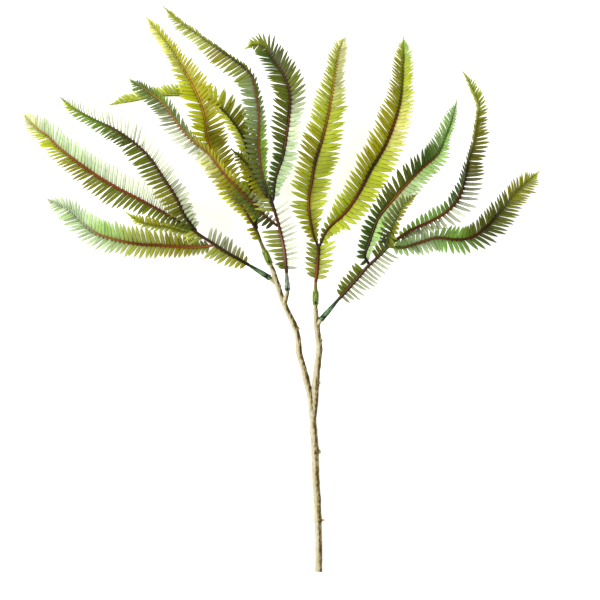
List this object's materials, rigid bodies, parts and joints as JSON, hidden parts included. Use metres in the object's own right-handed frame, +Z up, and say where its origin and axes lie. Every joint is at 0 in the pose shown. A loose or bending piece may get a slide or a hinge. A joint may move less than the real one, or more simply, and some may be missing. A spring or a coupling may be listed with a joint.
{
  "type": "artificial asplenium fern spray",
  "caption": "Forked woody stem with leafy plastic fern fronds plugged onto its pegs, lying on a surface.",
  "frame": {"origin": "on the surface that the spray lies on, under the middle of its box", "axes": "+Y from the stem's cut end towards the frond tips, +X to the right seen from above, +Z up from the surface"},
  "size_m": [0.7012, 0.7642, 0.1111],
  "materials": {
    "bark": "moulded bark in tan, washed darker in its grooves",
    "sleeve_green": "satin bluish green moulding",
    "sleeve_lime": "satin yellow-green moulding",
    "leaf_olive": "satin olive moulding with a red-brown rib",
    "leaf_dark": "satin dark green moulding with a brown rib",
    "leaf_yellow": "satin yellow-green moulding with an orange-brown rib",
    "leaf_lime": "satin lime green moulding with a red-brown rib"
  },
  "bodies": {
    "root": {"stem": "bark", "sleeve_a": "sleeve_green", "sleeve_b": "sleeve_lime", "sleeve_c": "sleeve_green", "sleeve_d": "sleeve_lime", "sleeve_e": "sleeve_green", "twig_a": "leaf_olive", "twig_b": "leaf_yellow", "twig_c": "leaf_dark", "twig_d": "leaf_lime", "twig_e": "leaf_olive", "frond_a1": "leaf_olive", "frond_a2": "leaf_olive", "frond_a3": "leaf_olive", "frond_a4": "leaf_lime", "frond_b1": "leaf_yellow", "frond_b2": "leaf_yellow", "frond_c1": "leaf_dark", "frond_c2": "leaf_dark", "frond_c3": "leaf_dark", "frond_c4": "leaf_dark", "frond_d1": "leaf_lime", "frond_d2": "leaf_lime", "frond_e1": "leaf_olive", "frond_e2": "leaf_dark", "frond_e3": "leaf_olive", "frond_e4": "leaf_olive"}
  },
  "joints": []
}
